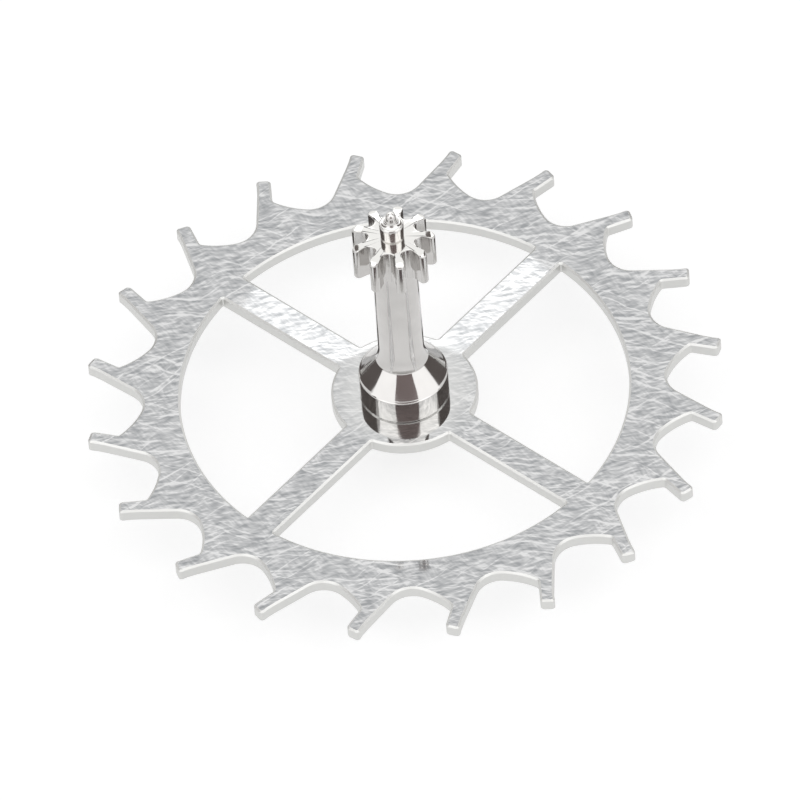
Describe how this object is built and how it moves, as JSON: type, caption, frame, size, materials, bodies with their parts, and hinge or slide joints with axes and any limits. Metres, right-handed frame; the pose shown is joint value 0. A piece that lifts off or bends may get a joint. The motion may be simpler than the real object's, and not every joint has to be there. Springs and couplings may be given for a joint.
{
  "type": "watch escape wheel",
  "caption": "Toothed, spoked escape wheel plate riveted on a one-piece pinion arbor with leaves at one end and a fine pivot at each end.",
  "frame": {"origin": "tip of the lower pivot, on the arbor's axis", "axes": "+Z along the arbor from the lower pivot to the pinion leaves and the upper pivot; +X and +Y lie in the plane of the wheel, midway between its spokes"},
  "size_m": [0.0046, 0.0046, 0.0024],
  "materials": {
    "lapped_steel_plate": "hardened steel, faces lapped flat, edges finely bevelled",
    "burnished_steel_arbor": "hardened steel, burnished to a mirror"
  },
  "bodies": {
    "root": {"escape_wheel": "lapped_steel_plate", "escape_pinion": "burnished_steel_arbor"}
  },
  "joints": []
}
